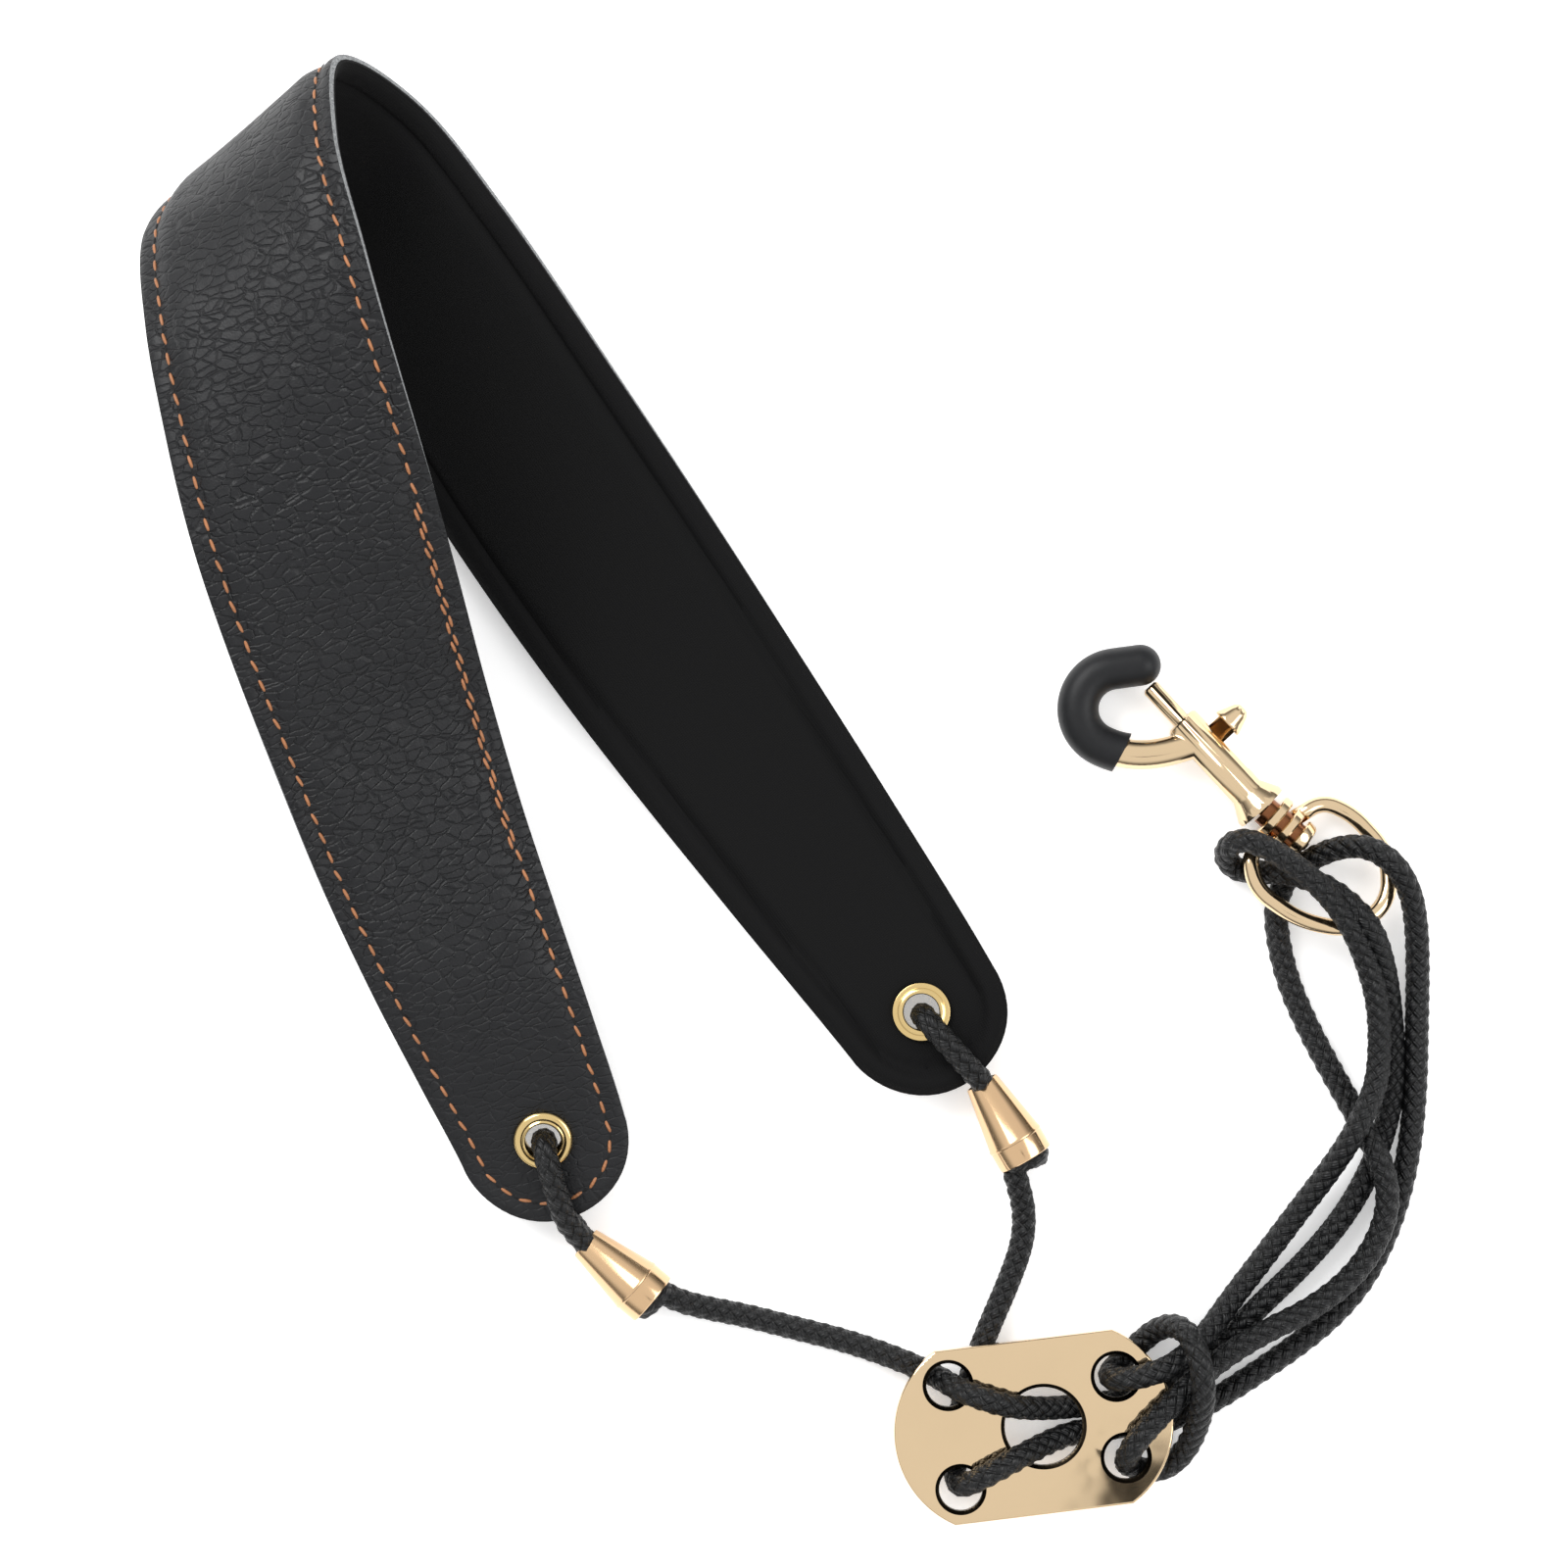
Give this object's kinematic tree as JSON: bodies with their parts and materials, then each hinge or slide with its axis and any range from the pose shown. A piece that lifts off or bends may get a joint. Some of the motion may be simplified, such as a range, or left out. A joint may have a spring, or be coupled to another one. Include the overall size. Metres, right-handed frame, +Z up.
{
  "type": "saxophone neck strap",
  "caption": "Padded leather neck band on a braided cord with bell cones, a plate slider with holes and a sprung, rubber-sleeved bolt hook on a swivel.",
  "frame": {"origin": "middle of the outline of the band, plate and hook at table level, the free cord left out", "axes": "+Z up from the table, +Y towards the bend of the folded band, +X from the band towards the hook"},
  "size_m": [0.2587, 0.2944, 0.0615],
  "materials": {
    "leather": "pebbled, semi-gloss",
    "foam": "matt closed-cell foam",
    "lining": "matt knit",
    "eyelet_brass": "polished",
    "bell_gold": "polished rose gold plate",
    "cord_nylon": "braided nylon",
    "plate_gold": "mirror polished light gold plate",
    "hook_gold": "polished gold plate",
    "sleeve_rubber": "matt",
    "spring_steel": "drawn wire"
  },
  "bodies": {
    "strap": {"leather_face": "leather", "foam_pad": "foam", "lining": "lining", "left_eyelet": "eyelet_brass", "right_eyelet": "eyelet_brass", "left_eyelet_washer": "eyelet_brass", "right_eyelet_washer": "eyelet_brass", "left_bell": "bell_gold", "right_bell": "bell_gold", "left_stopper_knot": "cord_nylon", "right_stopper_knot": "cord_nylon", "cord_left_loop": "cord_nylon", "cord_right_loop": "cord_nylon", "cord_left_lead": "cord_nylon", "cord_upper_bight": "cord_nylon", "cord_wrap": "cord_nylon", "cord_lower_bight": "cord_nylon", "cord_right_lead": "cord_nylon", "adjuster_plate": "plate_gold", "swivel_head": "hook_gold", "swivel_rivet": "hook_gold", "swivel_bow": "hook_gold"},
    "hook": {"hook_body": "hook_gold", "hook_sleeve": "sleeve_rubber", "spring_seat": "hook_gold", "plunger_spring": "spring_steel"},
    "plunger": {"plunger_pin": "hook_gold", "thumb_knob": "hook_gold"}
  },
  "joints": [
    {"name": "swivel_spin", "type": "hinge", "parent": "strap", "child": "hook", "pos_m": [0.09801, -0.00193, 0.00565], "axis": [0.7524, -0.6587, 0], "continuous": true},
    {"name": "plunger_slide", "type": "slide", "parent": "hook", "child": "plunger", "axis": [0.6794, -0.7337, 0], "range_m": [0, 0.007], "stiffness_N_per_m": 450, "springref_m": -0.002, "deforming": ["plunger_spring"]}
  ]
}
